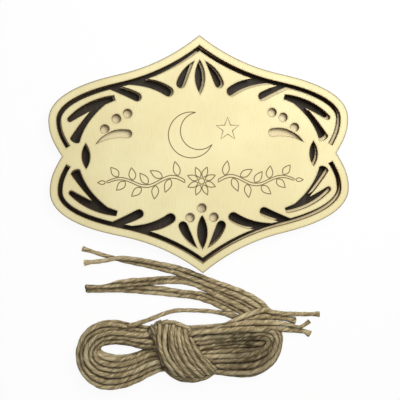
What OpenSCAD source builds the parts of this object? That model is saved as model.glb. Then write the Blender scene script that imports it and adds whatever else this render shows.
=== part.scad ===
// A layered wooden plaque with cut fretwork, and the hank of jute twine that hangs it.
// Millimetres. The plaque lies on its back, face up, and the hank lies below it.

/* [Plaque] */
// Width of the plaque over its two side lobes
plaque_w = 100; // [70:1:200]
// Height of the plaque from point to point
plaque_h = 79.2; // [60:0.2:160]
// Thickness of the pale front layer
front_t = 2; // [1:0.1:4]
// Thickness of the pale middle layer
middle_t = 1.8; // [1:0.1:4]
// Thickness of the dark closed back layer
back_t = 1.2; // [0.8:0.1:3]

/* [Border slot] */
// Wood left between the outline and the slot
rim_w = 2.6; // [1.5:0.1:4]
// Width of the slot that follows the outline
slot_w = 1.5; // [0.8:0.1:2.4]

/* [Openings] */
// Greatest width of the large border leaves
big_leaf_w = 3.4; // [2:0.1:4.5]
// Greatest width of the small border leaves
small_leaf_w = 2.9; // [2:0.1:4]
// Greatest width of the upper arm of the forked leaves
fork_arm_w = 2.8; // [1.6:0.1:3.4]
// Greatest width of the lower arm of the forked leaves
fork_leg_w = 3.3; // [1.6:0.1:4]
// Greatest width of the teardrops
tear_w = 3; // [1.6:0.1:4]
// Width of the centre leaves
centre_leaf_w = 3.4; // [1.6:0.1:4]
// Width of the lens openings at the sides
lens_w = 2.8; // [1.6:0.1:4]
// Diameter of the round dots
dot_d = 2.9; // [1.5:0.1:3.6]
// Greatest width of the crescents
crescent_w = 2.6; // [1.5:0.1:3.4]

/* [Middle layer] */
// Turn of the middle layer's openings against the front layer's
middle_turn = 1; // [0:0.1:1.8]
// Shift of the middle layer's openings to the left
middle_shift = 0.4; // [0:0.1:0.8]
// Shift of the middle layer's openings upwards
middle_rise = 0.25; // [0:0.05:0.6]

/* [Twine] */
// Diameter of the twine
twine_d = 1.4; // [1:0.1:1.6]
// Gap between the hank's neighbouring turns, and between its layers
turn_gap = 0.5; // [0.45:0.05:0.8]
// Turns beside each other in one layer of the hank
layer_turns = 4; // [3:1:4]
// Length of the hank's straight runs
run_l = 48.5; // [44:0.5:60]
// Width left open inside the innermost turn at the left loop
left_eye_w = 4; // [2:0.1:7]
// How much wider apart the turns lie at the left loop than at the right fold
left_spread = 1.1; // [1:0.01:1.2]
// Width left open inside the innermost turn at the right fold
right_eye_w = 0.85; // [0.6:0.05:3]
// Gap between the two innermost runs at the waist
waist_gap = 0.5; // [0.45:0.05:1]
// Times that the tie passes over the hank
wrap_turns = 6; // [4:1:6]
// Distance from the plaque's lowest point to the middle of the hank
hank_drop = 26.4; // [26:0.1:50]

/* [Hidden] */

pale_wood = "#F4ECBE";
ledge_wood = "#D9C68E";
dark_wood = "#2A231B";
jute = "#A08B64";

// Cuts run this far past the faces that they open
cut_over = 0.5;
half_w = plaque_w / 2;
half_h = plaque_h / 2;

// Steps along each of the outline's three curves, along a leaf, and round its end
curve_steps = [10, 16, 8];
leaf_steps = 12;
cap_steps = 6;

// The outline's right upper quarter: three cubic curves from the top point to the side notch.
// Each row is a point or a handle, as a share of half the width and half the height.
tip_shares = [[0, 1], [0.18, 0.82], [0.36, 0.722], [0.56, 0.668]];
shoulder_shares = [[0.56, 0.668], [0.77, 0.608], [1, 0.5], [1, 0.295]];
lobe_shares = [[1, 0.295], [1, 0.17], [0.96, 0.09], [0.917, 0]];

function scaled(share) = [share[0] * half_w, share[1] * half_h];
function unit(v) = v / norm(v);

// Point and direction on a cubic curve
function cubic(c, t) =
    c[0] * pow(1 - t, 3) + c[1] * 3 * t * pow(1 - t, 2) + c[2] * 3 * t * t * (1 - t) + c[3] * pow(t, 3);
function cubic_way(c, t) =
    (c[1] - c[0]) * pow(1 - t, 2) + (c[2] - c[1]) * 2 * t * (1 - t) + (c[3] - c[2]) * t * t;
// How far along the lobe's curve the border slot runs
slot_end_share = 0.87;

// The quarter outline moved inwards by a distance, as far as a share of its lobe's curve
quarter_curves = [for (c = [tip_shares, shoulder_shares, lobe_shares]) [for (p = c) scaled(p)]];
function inset(distance, lobe_share) = [
    for (i = [0 : 2], s = [(i == 0 ? 0 : 1) : curve_steps[i]])
        let (
            c = quarter_curves[i],
            t = s / curve_steps[i] * (i == 2 ? lobe_share : 1),
            way = unit(cubic_way(c, t))
        )
        cubic(c, t) + [way[1], -way[0]] * distance
];
function reversed(list) = [for (i = [len(list) - 1 : -1 : 0]) list[i]];

module both_sides() {
    children();
    mirror([1, 0]) children();
}

module all_quarters() {
    both_sides() {
        children();
        mirror([0, 1]) children();
    }
}

// The quarter outline mirrored down, then both mirrored to the left, gives one closed outline
function mirrored(list, flip) = [for (i = [len(list) - 2 : -1 : 0]) [list[i][0] * flip[0], list[i][1] * flip[1]]];
module outline() {
    quarter = inset(0, 1);
    right_half = concat(quarter, mirrored(quarter, [1, -1]));
    left_half = mirrored(right_half, [-1, 1]);
    polygon(concat(right_half, [for (i = [0 : len(left_half) - 2]) left_half[i]]));
}

// A quarter of the border slot: a band that follows the outline and stops short of the notch
module quarter_slot() {
    intersection() {
        polygon(concat(
            inset(rim_w, slot_end_share),
            reversed(inset(rim_w + slot_w, slot_end_share))
        ));
        square([half_w, half_h]);
    }
}

// The border leaves grow out of the slot, and are cut no farther out than its middle
module within_border() {
    intersection() {
        polygon(concat([[0, 0]], inset(rim_w + slot_w / 2, 1)));
        children();
    }
}

// Half width of a leaf at t along its spine, through its root, middle and end widths
function leaf_half(widths, t) =
    widths[0] * (1 - t) * (1 - 2 * t) + widths[1] * 4 * t * (1 - t) + widths[2] * t * (2 * t - 1);
function bend(c, t) = c[0] * pow(1 - t, 2) + c[1] * 2 * t * (1 - t) + c[2] * t * t;
function bend_way(c, t) = unit((c[1] - c[0]) * (1 - t) + (c[2] - c[1]) * t);
function to_left(v) = [-v[1], v[0]];

// A leaf: a spine of three points, a root, middle and end width, and how full its end is
module leaf(spine_shares, width, width_shares, end_share = 1) {
    spine = [for (p = spine_shares) scaled(p)];
    halves = [for (s = width_shares) s * width / 2];
    one_side = [
        for (i = [0 : leaf_steps])
            let (t = i / leaf_steps) bend(spine, t) + to_left(bend_way(spine, t)) * leaf_half(halves, t)
    ];
    other_side = [
        for (i = [leaf_steps : -1 : 0])
            let (t = i / leaf_steps) bend(spine, t) - to_left(bend_way(spine, t)) * leaf_half(halves, t)
    ];
    way = bend_way(spine, 1);
    cap = [
        for (i = [1 : cap_steps - 1])
            let (a = 90 - 180 * i / cap_steps)
            spine[2] + (way * cos(a) * end_share + to_left(way) * sin(a)) * halves[2]
    ];
    polygon(concat(one_side, cap, other_side));
}

// A lens: two arcs that meet in a point at each end
module lens(length, width) {
    bow_r = (pow(length / 2, 2) + pow(width / 2, 2)) / width;
    reach = asin(length / 2 / bow_r);
    right_bow = [
        for (i = [0 : leaf_steps])
            let (a = reach * (1 - 2 * i / leaf_steps)) [bow_r * cos(a) + width / 2 - bow_r, bow_r * sin(a)]
    ];
    left_bow = [for (i = [leaf_steps - 1 : -1 : 1]) [-right_bow[i][0], right_bow[i][1]]];
    polygon(concat(right_bow, left_bow));
}

// Spines from root to end, as shares of half the width and half the height
big_leaf_shares = [[0.49, 0.607], [0.324, 0.629], [0.21, 0.53]];
small_leaf_shares = [[0.61, 0.583], [0.5, 0.54], [0.418, 0.487]];
fork_arm_shares = [[0.565, 0.482], [0.735, 0.43], [0.86, 0.305]];
fork_leg_shares = [[0.645, 0.447], [0.772, 0.293], [0.83, 0.133]];
tear_shares = [[0.036, 0.784], [0.096, 0.705], [0.128, 0.596]];
crescent_shares = [[0.694, 0.098], [0.6, 0.205], [0.482, 0.182]];

// Widths at the root, middle and end of each kind of leaf, as shares of its greatest width
big_leaf_width_shares = [0.42, 0.84, 0.97];
small_leaf_width_shares = [0.65, 0.9, 1];
fork_arm_width_shares = [0.62, 1, 0.6];
fork_leg_width_shares = [0.72, 0.57, 1];
tear_width_shares = [0, 0.78, 1];
crescent_width_shares = [0, 0.8, 1];

// Foot and top of the centre leaf and of the side lens, as shares of half the height
centre_leaf_span_share = [0.508, 0.795];
lens_centre_share = 0.76;
lens_length_share = 0.212;

// Places of the dots, as shares of half the width and half the height
upper_dot_shares = [[0.633, 0.223], [0.556, 0.309], [0.482, 0.351]];
lower_dot_shares = [[0, -0.448], [0.08, -0.527], [-0.08, -0.527]];

// The openings that go through both pale layers
module through_openings() {
    all_quarters() {
        quarter_slot();
        within_border() {
            leaf(big_leaf_shares, big_leaf_w, big_leaf_width_shares);
            leaf(small_leaf_shares, small_leaf_w, small_leaf_width_shares);
        }
        leaf(fork_arm_shares, fork_arm_w, fork_arm_width_shares);
        leaf(fork_leg_shares, fork_leg_w, fork_leg_width_shares, 0.5);
        leaf(tear_shares, tear_w, tear_width_shares);
    }
    centre_leaf_l = (centre_leaf_span_share[1] - centre_leaf_span_share[0]) * half_h;
    centre_leaf_y = (centre_leaf_span_share[1] + centre_leaf_span_share[0]) / 2 * half_h;
    for (side = [-1, 1]) {
        translate([0, side * centre_leaf_y]) lens(centre_leaf_l, centre_leaf_w);
        translate([side * lens_centre_share * half_w, 0]) lens(lens_length_share * half_h, lens_w);
    }
}

// The dots and crescents, which stop at the middle layer
module blind_openings() {
    for (dot = lower_dot_shares)
        translate(scaled(dot)) circle(d = dot_d, $fn = 32);
    both_sides() {
        leaf(crescent_shares, crescent_w, crescent_width_shares);
        for (dot = upper_dot_shares)
            translate(scaled(dot)) circle(d = dot_d, $fn = 32);
    }
}

module front_panel() {
    color(pale_wood)
    translate([0, 0, back_t + middle_t])
    difference() {
        linear_extrude(front_t) outline();
        translate([0, 0, -cut_over])
        linear_extrude(front_t + 2 * cut_over) {
            through_openings();
            blind_openings();
        }
    }
}

module middle_panel() {
    color(ledge_wood)
    translate([0, 0, back_t])
    difference() {
        linear_extrude(middle_t) outline();
        translate([-middle_shift, middle_rise, -cut_over])
        rotate(middle_turn)
        linear_extrude(middle_t + 2 * cut_over) through_openings();
    }
}

module back_panel() {
    color(dark_wood)
    linear_extrude(back_t) outline();
}

// Twine. The hank's own middle is the origin of every point below.
hank_at = [-6.8, -half_h - hank_drop, 0];
twine_r = twine_d / 2;
turn_step = twine_d + turn_gap;
up = [0, 0, 1];

// Rings round one turn: along each run, and round each half of a fold
turn_rings = 24;
run_rings = 6;
half_fold_rings = 3;
wound_sides = 6;
free_sides = 8;

// Radius of the innermost turn's middle at the folds, and its half width at the waist
left_r = (left_eye_w + twine_d) / 2;
right_r = (right_eye_w + twine_d) / 2;
waist_r = (waist_gap + twine_d) / 2;

layers = 4;

// The tie passes below the hank, so the hank is lifted over it
wrap_clear = 0.3;
waist_lift = twine_d + wrap_clear;
// The waist stays straight over this share of each run
waist_share = 0.45;

// Half the distance between the two innermost runs, and the lift, at x along a run
function ease(share) = (1 - cos(180 * share)) / 2;
function opened(x) = ease(max(0, (abs(x) / run_l * 2 - waist_share) / (1 - waist_share)));
function run_half(x) = waist_r + ((x > 0 ? right_r : left_r) - waist_r) * opened(x);
function run_spread(x) = 1 + (x > 0 ? 0 : left_spread - 1) * opened(x);
function run_lift(x) = waist_lift * (1 - opened(x));

// Place round the turn at ring m, with its runs moved out by a number of steps
function turn_place(m, steps) =
    let (
        out = steps * turn_step,
        lower_run = half_fold_rings + run_rings,
        upper_run = turn_rings - half_fold_rings - run_rings
    )
    m < half_fold_rings ? fold_place(run_l / 2, right_r + out, -90 * m / half_fold_rings)
    : m < lower_run ? run_place(run_l / 2 - run_l * (m - half_fold_rings) / run_rings, -1, out)
    : m < upper_run ? fold_place(-run_l / 2, left_r + out * left_spread, -90 - 90 * (m - lower_run) / half_fold_rings)
    : m < turn_rings - half_fold_rings ? run_place(run_l * (m - upper_run) / run_rings - run_l / 2, 1, out)
    : fold_place(run_l / 2, right_r + out, 90 * (turn_rings - m) / half_fold_rings);
function fold_place(x, r, a) = [x + r * cos(a), r * sin(a), 0];
function run_place(x, side, out) = [x, side * (run_half(x) + out * run_spread(x)), run_lift(x)];

// The winding: each layer winds in or out, then climbs to the next along an upper run.
// It starts on the right fold, one ring before its middle.
start_ring = -1;
climb_ring = turn_rings - half_fold_rings - run_rings;
layer_rings = layer_turns * turn_rings;
end_ring = (layers * layer_turns - 1) * turn_rings + climb_ring + 1;
function wound_place(i) =
    let (
        shifted = i + half_fold_rings,
        layer = floor(shifted / layer_rings),
        into = shifted - layer * layer_rings,
        flat_rings = layer_rings - run_rings,
        steps = min(into, flat_rings) / turn_rings,
        climb = max(0, into - flat_rings) / run_rings,
        most = flat_rings / turn_rings,
        m = i - turn_rings * floor(i / turn_rings)
    )
    turn_place(m, layer % 2 == 0 ? most - steps : steps)
    + up * (twine_r + (layer + climb) * turn_step);
wound = [for (i = [start_ring : end_ring]) wound_place(i)];

// Both ends of the winding run straight for one diameter
lead_way = unit([0.5, -0.87, 0]);
arch_way = unit([0.94, 0.33, 0]);
winding_start = wound[0] - lead_way * twine_d;
winding_end = wound[len(wound) - 1] + arch_way * twine_d;
winding_path = concat([winding_start], wound, [winding_end]);

// The tie: a rounded rectangle round the waist, leaning more with each turn
wrap_corner_r = 1.6 * twine_d;
wrap_half = waist_r + (layer_turns - run_rings / turn_rings) * turn_step + waist_lift;
wrap_top = twine_r + 2 * waist_lift + (layers - 1) * turn_step;
wrap_rings = 24;
wrap_flat = 4;
wrap_corner = 3;
wrap_side = 2;
// Where the tie's first turn lies at the hank's upper and lower edge, and how it opens out there
wrap_first_upper = -10.5;
wrap_first_lower = -7;
wrap_open_upper = 0.1;
wrap_open_lower = 1.2;

function wrap_round(m) =
    let (
        y = wrap_half - wrap_corner_r,
        z = [twine_r + wrap_corner_r, wrap_top - wrap_corner_r],
        a1 = wrap_flat,
        a2 = a1 + wrap_corner,
        a3 = a2 + wrap_side,
        a4 = a3 + wrap_corner,
        a5 = a4 + wrap_flat,
        a6 = a5 + wrap_corner,
        a7 = a6 + wrap_side
    )
    m < a1 ? [y - 2 * y * m / wrap_flat, wrap_top]
    : m < a2 ? wrap_arc(-y, z[1], 90 + 90 * (m - a1) / wrap_corner)
    : m < a3 ? [-wrap_half, z[1] + (z[0] - z[1]) * (m - a2) / wrap_side]
    : m < a4 ? wrap_arc(-y, z[0], 180 + 90 * (m - a3) / wrap_corner)
    : m < a5 ? [2 * y * (m - a4) / wrap_flat - y, twine_r]
    : m < a6 ? wrap_arc(y, z[0], 270 + 90 * (m - a5) / wrap_corner)
    : m < a7 ? [wrap_half, z[0] + (z[1] - z[0]) * (m - a6) / wrap_side]
    : wrap_arc(y, z[1], 90 * (m - a7) / wrap_corner);
function wrap_arc(y, z, a) = [y + wrap_corner_r * cos(a), z + wrap_corner_r * sin(a)];

function wrap_place(i) =
    let (
        turn = i / wrap_rings,
        m = i - wrap_rings * floor(turn),
        yz = wrap_round(m),
        lower_share = (wrap_half - yz[0]) / (2 * wrap_half),
        x_upper = wrap_first_upper + (turn_step + wrap_open_upper) * turn,
        x_lower = wrap_first_lower + (turn_step + wrap_open_lower) * turn
    )
    [x_upper + (x_lower - x_upper) * lower_share, yz[0], yz[1]];
// It starts and ends in the middle of its flat stretch below the hank
wrap_low_ring = wrap_flat + wrap_corner + wrap_side + wrap_corner + wrap_flat / 2;
wrap_path = [
    for (i = [wrap_low_ring - wrap_rings : wrap_rings * (wrap_turns - 1) + wrap_low_ring]) wrap_place(i)
];

// Routes of the free strands, chosen by hand. The left tails come from the right fold.
left_tail_routes = [
    [[-33.3, 35.2, 0.7], [-24.8, 32.3, 0.7], [-18, 30.4, 0.8], [-11, 28.8, 0.8], [-4, 26.9, 0.8],
     [1.5, 25, 1.2], [6.2, 23.2, 1.5], [10.5, 20.9, 1.5], [14.8, 19.4, 1.5], [19.5, 17.9, 1.5],
     [23.2, 16.4, 1.5], [25.8, 14.4, 1.4], [27.7, 11.8, 1], [28.6, 9.2, 0.7], [29, 7, 0.7],
     [28.7, 4.9, 0.7]],
    [[-32.7, 30.4, 0.7], [-26.5, 31, 2], [-21, 31.9, 2.3], [-15, 31.2, 2.2], [-8, 29.6, 1.6],
     [-2, 28.1, 0.8], [2.5, 26.4, 0.7], [6.8, 24.5, 0.7], [11, 22.3, 0.7], [15.4, 20.8, 0.7],
     [20.2, 19.2, 0.7], [24, 17.6, 0.7], [26.7, 15.5, 0.7], [28.9, 12.8, 0.7], [30.2, 10, 0.7],
     [30.6, 7.6, 0.7], winding_start],
    [[-31.9, 22.5, 0.7], [-25.7, 23, 0.7], [-19.7, 24.2, 0.7], [-14.2, 24.6, 0.7], [-8.7, 24.7, 0.7],
     [-3, 24.4, 0.7], [1.8, 23.5, 0.7], [6, 21.9, 0.7], [10, 19.8, 0.7], [14.2, 18, 0.7],
     [18.8, 16.6, 0.7], [22.2, 15.2, 0.7], [24.5, 13.3, 0.7], [26, 11, 0.7], [26.6, 8.7, 0.7],
     [26.3, 6.3, 0.7]],
    [[-31.4, 22.4, 2.15], [-25.5, 22.5, 2.1], [-19.7, 22.75, 1.4], [-14, 23.1, 0.7], [-8.5, 23.2, 0.7],
     [-3, 22.9, 0.7], [1.6, 22, 0.7], [5.6, 20.6, 1.3], [9.4, 18.6, 1.5], [13.6, 16.8, 1.5],
     [17.8, 15.4, 1.5], [20.8, 14, 1.5], [22.7, 12.2, 1.4], [23.9, 10.3, 1], [24.1, 8.7, 0.7],
     [23.5, 6.6, 0.75]],
    [[-31.7, 21, 0.7], [-25.3, 21.4, 0.7], [-19.7, 21.4, 0.7], [-14, 21.6, 0.7], [-8.3, 21.6, 0.7],
     [-3, 20.4, 0.7], [2, 19.6, 0.7], [6, 18.6, 0.7], [9.6, 17, 0.7], [13.2, 15.5, 0.7],
     [16.7, 14.1, 0.7], [19.2, 12.7, 0.7], [20.7, 11, 0.7], [21.3, 9.1, 0.7], [20.9, 6.7, 0.9]],
    [[-31.2, 20.9, 2.15], [-25.2, 20.9, 2.1], [-19.7, 20.2, 1.6], [-11.5, 19.5, 0.7], [-5, 18.8, 0.7],
     [0, 18, 0.7], [5.4, 16.9, 0.7], [9.6, 15.5, 1.1], [12.8, 14.1, 1.5], [15.6, 12.5, 1.5],
     [17.4, 10.8, 1.2], [18.2, 9, 0.8], [18.4, 6.8, 1.2]]
];
arch_route = [
    winding_end, [-12.2, 11.2, 6.6], [-9, 12.6, 4.8], [-5.5, 13.6, 3], [-1.5, 14.1, 1.5],
    [2.5, 14.1, 0.7], [6.5, 13.9, 0.7], [10, 13.2, 1.1], [12.5, 12.6, 2.2], [15, 12, 3],
    [18, 11.2, 3.2], [21, 10.5, 3.2], [25, 9.7, 3.1], [28.5, 9.3, 3], [32, 9.3, 2.3], [35, 9.5, 1.3],
    [38.8, 9.4, 0.7]
];
right_tail_routes = [
    [[-0.3, 9.6, 4.6], [6, 9.6, 4.9], [12, 9.6, 4.9], [16, 10.5, 4.8], [19.5, 11.6, 4.7],
     [23, 12.6, 4.5], [27.3, 13.2, 3.9], [30.8, 12.4, 3.1], [34.2, 11.6, 2.2], [38.4, 11.3, 1.3],
     [42.5, 11.1, 0.8], [47, 10.8, 0.7]],
    [[-0.3, 9.1, 7.2], [7, 8.7, 7.2], [14, 8.4, 7], [20, 8.4, 6.8], [26, 8.25, 6.4], [30, 7.75, 5.4],
     [34, 7.1, 3.5], [37.6, 6.8, 1.9], [41.2, 7.3, 0.9], [43.8, 8.4, 0.7]],
    [[1, 7.5, 9.3], [8, 7.3, 9.5], [14, 7.1, 9.2], [20, 6.9, 8.65], [26, 6.85, 8.2], [30, 6.45, 7.3],
     [34, 5.8, 5.1], [37.6, 5.4, 3.1], [40.7, 5.2, 1.5], [43.5, 4.2, 0.75]]
];

// A tube of flat sides swept along a path
module tube(path, sides, reference = up) {
    last = len(path) - 1;
    rings = [
        for (i = [0 : last])
            let (
                way = unit(path[min(i + 1, last)] - path[max(i - 1, 0)]),
                across = unit(cross(way, reference)),
                over = cross(across, way)
            )
            for (k = [0 : sides - 1])
                let (a = 360 * (k + 0.5) / sides) path[i] + (across * cos(a) + over * sin(a)) * twine_r
    ];
    walls = [
        for (i = [0 : last - 1], k = [0 : sides - 1])
            let (
                here = i * sides + k,
                next = i * sides + (k + 1) % sides
            )
            each [[here, next + sides, next], [here, here + sides, next + sides]]
    ];
    first_cap = [for (k = [1 : sides - 2]) [0, k, k + 1]];
    last_cap = [for (k = [1 : sides - 2]) [last * sides, last * sides + k + 1, last * sides + k]];
    polyhedron(rings, concat(walls, first_cap, last_cap));
}

// Least gap between parts of a path that lie some rings apart, also midway between its rings
function with_middles(path) = [
    for (i = [0 : len(path) - 2]) each [path[i], (path[i] + path[i + 1]) / 2]
];
function least_gap(path, apart) =
    let (points = with_middles(path))
    min([for (i = [0 : len(points) - 1 - apart], j = [i + apart : len(points) - 1]) norm(points[i] - points[j])])
    - twine_d;
gap_rings_apart = 16;

module twine_winding() {
    echo(winding_turns = len(wound) / turn_rings, winding_least_gap = least_gap(winding_path, gap_rings_apart));
    color(jute) translate(hank_at) tube(winding_path, wound_sides);
}

module twine_wrap() {
    echo(wrap_least_gap = least_gap(wrap_path, gap_rings_apart));
    color(jute) translate(hank_at) tube(wrap_path, wound_sides, [1, 0, 0]);
}

module arch_strand() {
    color(jute) translate(hank_at) tube(arch_route, free_sides);
}

module left_tail(i) {
    color(jute) translate(hank_at) tube(left_tail_routes[i], free_sides);
}

module right_tail(i) {
    color(jute) translate(hank_at) tube(right_tail_routes[i], free_sides);
}

front_panel();
middle_panel();
back_panel();
twine_winding();
twine_wrap();
arch_strand();
for (i = [0 : 5])
    left_tail(i);
for (i = [0 : 2])
    right_tail(i);
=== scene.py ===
import math

import bpy
import numpy as np
from mathutils import Euler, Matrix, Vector
from mathutils.kdtree import KDTree


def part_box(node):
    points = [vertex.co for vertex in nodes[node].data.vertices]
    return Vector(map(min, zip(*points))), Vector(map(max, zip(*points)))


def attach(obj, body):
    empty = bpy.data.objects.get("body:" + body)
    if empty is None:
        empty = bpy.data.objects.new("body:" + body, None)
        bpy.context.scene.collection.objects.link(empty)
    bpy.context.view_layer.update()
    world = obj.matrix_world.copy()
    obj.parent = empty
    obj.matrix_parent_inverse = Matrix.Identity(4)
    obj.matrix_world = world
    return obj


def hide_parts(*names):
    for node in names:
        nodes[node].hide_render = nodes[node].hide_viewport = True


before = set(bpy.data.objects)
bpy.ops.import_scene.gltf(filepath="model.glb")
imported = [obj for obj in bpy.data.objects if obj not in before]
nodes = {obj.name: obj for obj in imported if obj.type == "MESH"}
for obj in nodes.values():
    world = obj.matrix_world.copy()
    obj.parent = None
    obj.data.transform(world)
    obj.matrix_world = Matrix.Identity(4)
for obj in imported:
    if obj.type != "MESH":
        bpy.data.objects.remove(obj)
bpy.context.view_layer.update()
scene = bpy.context.scene
mm = 0.001
up = np.array([0.0, 0.0, 1.0])
tiny, samePlace, small = 1e-12, 1e-9, 1e-6  # what counts as nothing

# The camera: its place and near end in millimetres, its turn in degrees
camera = {
    "place": (-18.2, -9.6, 237.3), "turn": (-1.283, -4.348, -0.866), "lens": 62.9, "sensor": 36, "near": 10,
}

eye = bpy.data.cameras.new("camera")
eye.lens = camera["lens"]
eye.sensor_width = camera["sensor"]
eye.clip_start = camera["near"] * mm
eyeObject = bpy.data.objects.new("camera", eye)
eyeObject.location = [v * mm for v in camera["place"]]
eyeObject.rotation_euler = Euler([math.radians(a) for a in camera["turn"]])
scene.collection.objects.link(eyeObject)
scene.camera = eyeObject
print("camera set")


# Geometry by numbers: paths, frames and meshes
def unit(v):
    v = np.asarray(v, float)
    return v / np.maximum(np.linalg.norm(v, axis=-1, keepdims=True), tiny)


def curveBetween(a, b, c, d, t):
    # A smooth curve from b to c, with a before it and d after it
    return 0.5 * (2 * b + (c - a) * t + (2 * a - 5 * b + 4 * c - d) * t ** 2 + (3 * b - a - 3 * c + d) * t ** 3)


def smoothPath(points, step, perSpan=12):
    # A curve through the points, then points on it at even steps
    p = np.asarray(points, float)
    p = np.vstack([2 * p[0] - p[1], p, 2 * p[-1] - p[-2]])
    t = np.linspace(0, 1, perSpan, endpoint=False)[:, None]
    rows = [curveBetween(*p[i - 1:i + 3], t) for i in range(1, len(p) - 2)]
    return evenPath(np.vstack(rows + [p[-2:-1]]), step)


def pathLength(points):
    return float(np.linalg.norm(np.diff(points, axis=0), axis=1).sum())


def evenPath(points, step, fewest=8):
    gone = np.concatenate([[0], np.cumsum(np.linalg.norm(np.diff(points, axis=0), axis=1))])
    count = max(fewest, int(round(gone[-1] / step)) + 1)
    at = np.linspace(0, gone[-1], count)
    return np.stack([np.interp(at, gone, points[:, k]) for k in range(3)], 1)


def frames(points, leastLean=0.1):
    # Two directions across the path at each point, carried along without twist
    way = unit(np.gradient(points, axis=0))
    across = np.zeros_like(points)
    first = np.cross(way[0], up)
    across[0] = unit(first if np.linalg.norm(first) > leastLean else np.cross(way[0], [1, 0, 0]))
    for i in range(1, len(points)):
        before = across[i - 1]
        across[i] = unit(before - way[i] * np.dot(before, way[i]))
    return way, across, np.cross(across, way)


def slowNoise(rng, count, step, wave, width=1, spread=0.6, spare=5):
    # Smooth random values along a path, about -1 to 1, with bumps a wave apart
    raw = rng.normal(0, spread, (int(count * step / wave) + spare, width))
    at = np.arange(count) * step / wave + 1
    base = np.floor(at).astype(int)
    t = (at - base)[:, None]
    t = t * t * (3 - 2 * t)
    return raw[base] * (1 - t) + raw[base + 1] * t


def ringsAround(path, across, over, around, radius):
    # A ring of points about each point of a path
    a = np.linspace(0, 2 * np.pi, around, endpoint=False)
    return (
        path[:, None, :]
        + across[:, None, :] * (np.cos(a) * radius)[:, :, None]
        + over[:, None, :] * (np.sin(a) * radius)[:, :, None]
    )


def ringFaces(rings, around, first=0):
    # Four-sided faces between closed rings, whose points are numbered from first
    i, j = (v.ravel() for v in np.meshgrid(np.arange(rings - 1), np.arange(around), indexing="ij"))
    here, beside = first + i * around + j, first + i * around + (j + 1) % around
    return np.stack([here, beside, beside + around, here + around], 1)


def makeMesh(name, verts, faces, look, attributes=None, smooth=True):
    mesh = bpy.data.meshes.new(name)
    mesh.from_pydata(np.asarray(verts).tolist(), [], [list(map(int, f)) for f in faces])
    mesh.polygons.foreach_set("use_smooth", [smooth] * len(mesh.polygons))
    for key, values in (attributes or {}).items():
        values = np.asarray(values, np.float32)
        if values.ndim == 1:
            mesh.attributes.new(key, "FLOAT", "POINT").data.foreach_set("value", values)
        else:
            mesh.attributes.new(key, "FLOAT_VECTOR", "POINT").data.foreach_set("vector", values.ravel())
    mesh.materials.append(look)
    mesh.update()
    piece = bpy.data.objects.new(name, mesh)
    scene.collection.objects.link(piece)
    return piece


# The hank, in millimetres in its own frame. Its innermost and its outermost turn, seen from above:
# each row is (ring, x, y), and the rings count clockwise from the middle of the right fold, 24 to a turn.
hank = {
    "at": np.array([-6.8, -66.0, 0.0]), "d": 1.4, "widths": (1.8, 1.8), "seed": 1, "routeSeed": 11,
    # Four layers of five turns. Each ends in a climb to the next, a few rings ahead of the fold, and the last
    # few rings are left off.
    "layers": 4, "layerRings": 120, "climbRings": 6, "rings": 24, "ringStep": 0.25, "firstRing": -1,
    "leftOff": 8, "ahead": 3,
    "high": 1.5, "dome": 0.9, "waist": (-11.0, 9.0), "waistLift": 0.9, "waistFade": 6,
    "swayAcross": 0.09, "swayUp": 0.35, "swayWave": 5, "swayFade": 8,
    # At the right fold the layers lie to either side by turns, and their middle sinks in
    "aside": 0.5, "sides": (1, -1, 1, -1, -1), "asideFrom": 12, "asideFade": 8,
    "sink": 1.5, "sinkAt": (19, 4), "sinkSize": (8, 2),
    # Where the fold is in deep shade: middle, size and amount
    "shade": (((17, 4.4), (9, 1.8), 1.0), ((21, -2), (13, 8), 0.8)),
    "inner": [
        (0, 27.7, 4.1), (0.75, 27.1, 3.2), (1.5, 25.4, 2.75), (2.25, 23, 2.9), (3, 19.5, 2.9), (4.5, 11, 2.5),
        (6, 1, 1.2), (7.5, -8, 0.5), (8.25, -12, 0.3), (9, -16, -1.3), (9.75, -20.6, -2.1), (10.5, -24.5, -1.8),
        (11.25, -28, -0.6), (12, -29.6, 1.5), (12.75, -28.2, 3.3), (13.5, -25.7, 4.1), (14.25, -22.5, 4.2),
        (15, -18, 3.7), (16.5, -12.2, 2.3), (18, -2, 2.6), (19.5, 8, 3.5), (21, 17.5, 4.5), (22, 22.5, 4.95),
        (23, 26, 5.15),
    ],
    "outer": [
        (0, 32.8, 4), (0.75, 32.6, -0.5), (1.5, 31, -4.6), (2.25, 27.4, -7.9), (3, 22.4, -9.3), (4.5, 14, -8.6),
        (6, 4, -6.8), (7.5, -6, -5), (8.25, -11.5, -6.8), (9, -17, -9.4), (9.75, -22.7, -11),
        (10.5, -28, -10.8), (11.25, -32.6, -7.4), (12, -34.7, -1.8), (12.75, -33.9, 3.9), (13.5, -31, 7.8),
        (14.25, -27, 9.6), (15, -22.5, 9.7), (16.5, -14.8, 7.9), (18, -4, 7.4), (19.5, 8, 7.4), (21, 20, 7.5),
        (22, 27, 7.6), (23, 31.2, 6.4),
    ],
}
lowest = hank["d"] / 2  # the height of a strand's middle where it lies on the floor


def roundTurn(rows, ring):
    # Places on a closed turn, on a smooth curve through its rows
    n = len(rows)
    p = np.array([row[1:] for row in rows], float)
    at = np.interp(ring % hank["rings"], [row[0] for row in rows] + [hank["rings"]], np.arange(n + 1))
    i = np.floor(at).astype(int)
    return curveBetween(p[(i - 1) % n], p[i % n], p[(i + 1) % n], p[(i + 2) % n], (at - i)[:, None])


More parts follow.
